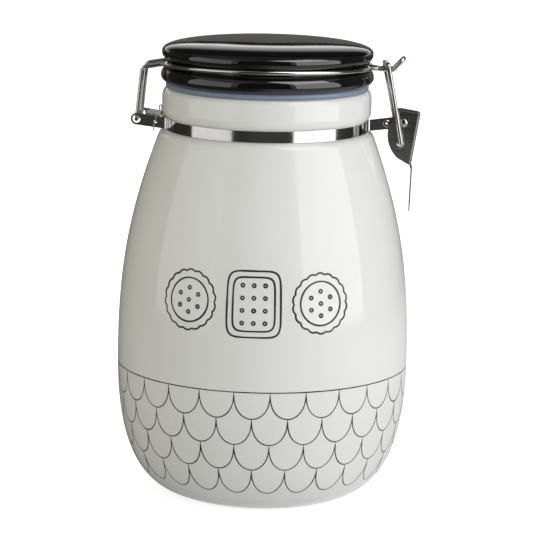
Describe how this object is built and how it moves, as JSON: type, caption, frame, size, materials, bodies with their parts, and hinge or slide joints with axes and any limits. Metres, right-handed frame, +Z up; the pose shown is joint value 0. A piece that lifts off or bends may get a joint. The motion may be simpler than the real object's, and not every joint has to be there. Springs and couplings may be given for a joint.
{
  "type": "clip-top biscuit jar",
  "caption": "Glazed ceramic jar with a ceramic lid on a wire bail, a soft gasket, and a lever with a latch wire that pulls the lid shut.",
  "frame": {"origin": "on the jar's axis in the plane of its flat base", "axes": "+Z up along the jar's axis, +X towards the latch, -X towards the hinge, -Y towards the jar's front"},
  "size_m": [0.1637, 0.16, 0.2494],
  "materials": {
    "glaze_cream": "gloss cream-white glaze on stoneware",
    "glaze_black": "gloss black glaze on stoneware",
    "silicone": "matt blue-grey silicone",
    "wire_steel": "bright drawn stainless wire",
    "strap_steel": "polished stainless strip",
    "lever_steel": "pressed stainless sheet, lightly brushed"
  },
  "bodies": {
    "jar": {"jar_body": "glaze_cream", "strap_front": "strap_steel", "strap_back": "strap_steel", "strap_eyelet": "strap_steel", "split_pin": "wire_steel", "lever_pin": "wire_steel"},
    "lid_unit": {"lid": "glaze_black", "gasket": "silicone", "lid_bail": "wire_steel"},
    "lever_unit": {"lever": "lever_steel"},
    "latch": {"latch_wire": "wire_steel"}
  },
  "joints": [
    {"name": "lid_hinge", "type": "hinge", "parent": "jar", "child": "lid_unit", "pos_m": [-0.0699, 0, 0.20607], "axis": [0, -1, 0], "range_deg": [0, 180]},
    {"name": "lever_pivot", "type": "hinge", "parent": "jar", "child": "lever_unit", "pos_m": [0.0746, 0, 0.20669], "axis": [0, -1, 0], "range_deg": [0, 110]},
    {"name": "latch_swing", "type": "hinge", "parent": "lever_unit", "child": "latch", "pos_m": [0.07315, 0, 0.19439], "axis": [0, -1, 0], "range_deg": [-90, 0]}
  ],
  "couplings": [
    {"joint": "latch_swing", "follows": "lever_pivot", "ratio": -0.8}
  ]
}
